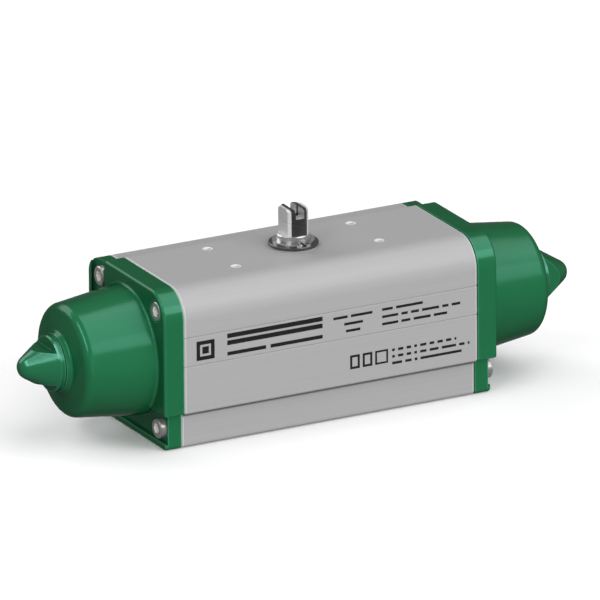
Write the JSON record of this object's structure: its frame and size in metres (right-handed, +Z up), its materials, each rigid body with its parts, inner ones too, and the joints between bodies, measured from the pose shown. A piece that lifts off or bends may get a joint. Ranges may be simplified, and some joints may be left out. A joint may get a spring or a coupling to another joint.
{
  "type": "rotary pneumatic actuator",
  "caption": "Spring-return quarter-turn pneumatic actuator: grey extruded body, domed green end caps, opposed rack pistons turning a vertical pinion shaft for a flanged valve.",
  "frame": {"origin": "where the drive shaft's axis meets the bottom mounting face", "axes": "+Z up along the drive shaft, +X along the cylinder bore, -Y towards the plain near side; the air ports face +Y"},
  "size_m": [0.306, 0.085, 0.1014],
  "materials": {
    "anodised_body": "satin anodised extrusion",
    "green_paint": "semi-gloss powder coat",
    "green_plug": "semi-gloss moulding",
    "zinc_steel": "zinc plated",
    "black_rubber": "matt",
    "cast_piston": "die cast, machined",
    "acetal": "turned",
    "spring_steel": "phosphated",
    "pressed_steel": "pressed, zinc plated",
    "shaft_steel": "nickel plated, turned and milled",
    "washer_steel": "ground",
    "clip_steel": "bright"
  },
  "bodies": {
    "housing": {"body": "anodised_body", "left_end_cap": "green_paint", "right_end_cap": "green_paint", "left_cap_screws": "zinc_steel", "right_cap_screws": "zinc_steel", "left_cap_seal": "black_rubber", "right_cap_seal": "black_rubber", "left_gallery_seal": "black_rubber", "right_gallery_seal": "black_rubber", "left_stop_screw": "zinc_steel", "right_stop_screw": "zinc_steel", "left_lock_nut": "zinc_steel", "right_lock_nut": "zinc_steel", "left_nose_plug": "green_plug", "right_nose_plug": "green_plug", "left_plug_seal": "black_rubber", "right_plug_seal": "black_rubber", "left_spring_seat": "pressed_steel", "right_spring_seat": "pressed_steel", "left_outer_spring": "spring_steel", "right_outer_spring": "spring_steel", "left_inner_spring": "spring_steel", "right_inner_spring": "spring_steel", "top_shaft_bush": "acetal", "bottom_shaft_bush": "acetal", "thrust_bearing": "acetal"},
    "drive_shaft": {"pinion_shaft": "shaft_steel", "top_shaft_seal": "black_rubber", "bottom_shaft_seal": "black_rubber", "thrust_washer": "washer_steel", "shaft_circlip": "clip_steel"},
    "right_rack_piston": {"right_piston": "cast_piston", "right_piston_seal": "black_rubber", "right_guide_band": "acetal", "right_rack_pad": "acetal"},
    "left_rack_piston": {"left_piston": "cast_piston", "left_piston_seal": "black_rubber", "left_guide_band": "acetal", "left_rack_pad": "acetal"}
  },
  "joints": [
    {"name": "shaft_turn", "type": "hinge", "parent": "housing", "child": "drive_shaft", "pos_m": [0, 0, 0], "axis": [0, 0, 1], "range_deg": [0, 90], "stiffness_Nm_per_rad": 0.3, "springref_deg": -28.65},
    {"name": "right_piston_slide", "type": "slide", "parent": "housing", "child": "right_rack_piston", "axis": [1, 0, 0], "range_m": [0, 0.0252], "deforming": ["right_outer_spring", "right_inner_spring"]},
    {"name": "left_piston_slide", "type": "slide", "parent": "housing", "child": "left_rack_piston", "axis": [-1, 0, 0], "range_m": [0, 0.0252], "deforming": ["left_outer_spring", "left_inner_spring"]}
  ],
  "couplings": [
    {"joint": "right_piston_slide", "follows": "shaft_turn", "m_per_rad": 0.016},
    {"joint": "left_piston_slide", "follows": "shaft_turn", "m_per_rad": 0.016}
  ]
}
